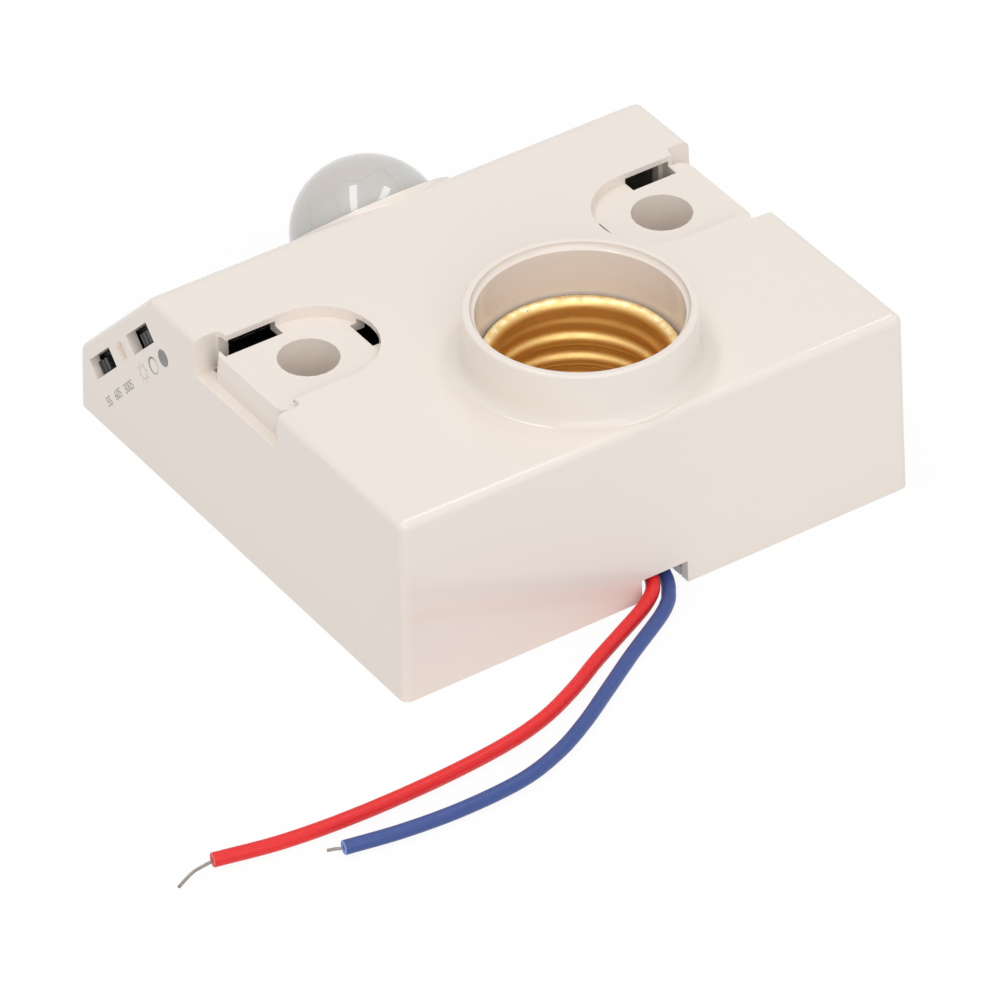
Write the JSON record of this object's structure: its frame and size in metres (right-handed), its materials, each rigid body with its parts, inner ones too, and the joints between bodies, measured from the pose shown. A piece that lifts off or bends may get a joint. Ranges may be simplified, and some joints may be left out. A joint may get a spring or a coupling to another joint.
{
  "type": "motion sensor lamp holder",
  "caption": "Square surface-mounted lamp holder with a screw socket in a short collar, a motion sensor dome on a sloping face, side settings and loose supply wires.",
  "frame": {"origin": "middle of the footprint, on the back face that lies against the wall", "axes": "+Z out of the wall towards the lamp, +Y towards the sloping sensor end, +X along the cable side"},
  "size_m": [0.1388, 0.1163, 0.0402],
  "materials": {
    "ivory": "gloss",
    "insulator": "satin",
    "brass": "polished",
    "zinc_steel": "zinc plated",
    "green_laminate": "varnished",
    "milky_plastic": "satin, translucent",
    "nickel": "plated",
    "black_plastic": "matte",
    "yellow_film": "gloss",
    "dark_sleeve": "gloss",
    "disc_coating": "matte",
    "resistor_coating": "matte",
    "photocell": "clear coated",
    "red_insulation": "satin",
    "blue_insulation": "satin",
    "white_insulation": "satin",
    "tinned_copper": "stranded, tinned"
  },
  "bodies": {
    "holder": {"back_cover": "ivory", "board_link": "black_plastic", "board_screw_1": "zinc_steel", "board_screw_2": "zinc_steel", "board_screw_3": "zinc_steel", "bridge_rectifier": "black_plastic", "centre_contact": "brass", "contact_lead": "white_insulation", "contact_rivet": "brass", "control_chip": "black_plastic", "cover_screw_1": "zinc_steel", "cover_screw_2": "zinc_steel", "film_capacitor": "yellow_film", "filter_capacitor": "dark_sleeve", "fresnel_lens": "milky_plastic", "front_housing": "ivory", "fuse_resistor": "resistor_coating", "lens_ring": "insulator", "line_conductor": "tinned_copper", "line_lead": "red_insulation", "line_wire": "red_insulation", "lux_switch": "zinc_steel", "main_board": "green_laminate", "neutral_conductor": "tinned_copper", "neutral_lead": "blue_insulation", "neutral_wire": "blue_insulation", "photocell": "photocell", "pir_sensor": "nickel", "relay": "black_plastic", "screw_shell": "brass", "sensor_board": "green_laminate", "sensor_screw_1": "zinc_steel", "sensor_screw_2": "zinc_steel", "shell_lead": "white_insulation", "shell_rivet_1": "brass", "shell_rivet_2": "brass", "socket_body": "insulator", "socket_screw_1": "zinc_steel", "socket_screw_2": "zinc_steel", "supply_capacitor": "dark_sleeve", "time_switch": "zinc_steel", "varistor": "disc_coating"},
    "time_setting": {"time_knob": "black_plastic"},
    "lux_setting": {"lux_knob": "black_plastic"}
  },
  "joints": [
    {"name": "time_slide", "type": "slide", "parent": "holder", "child": "time_setting", "axis": [0, -0.7053, 0.7089], "range_m": [0, 0.004]},
    {"name": "lux_slide", "type": "slide", "parent": "holder", "child": "lux_setting", "axis": [0, -0.7053, 0.7089], "range_m": [-0.002, 0.002]}
  ]
}
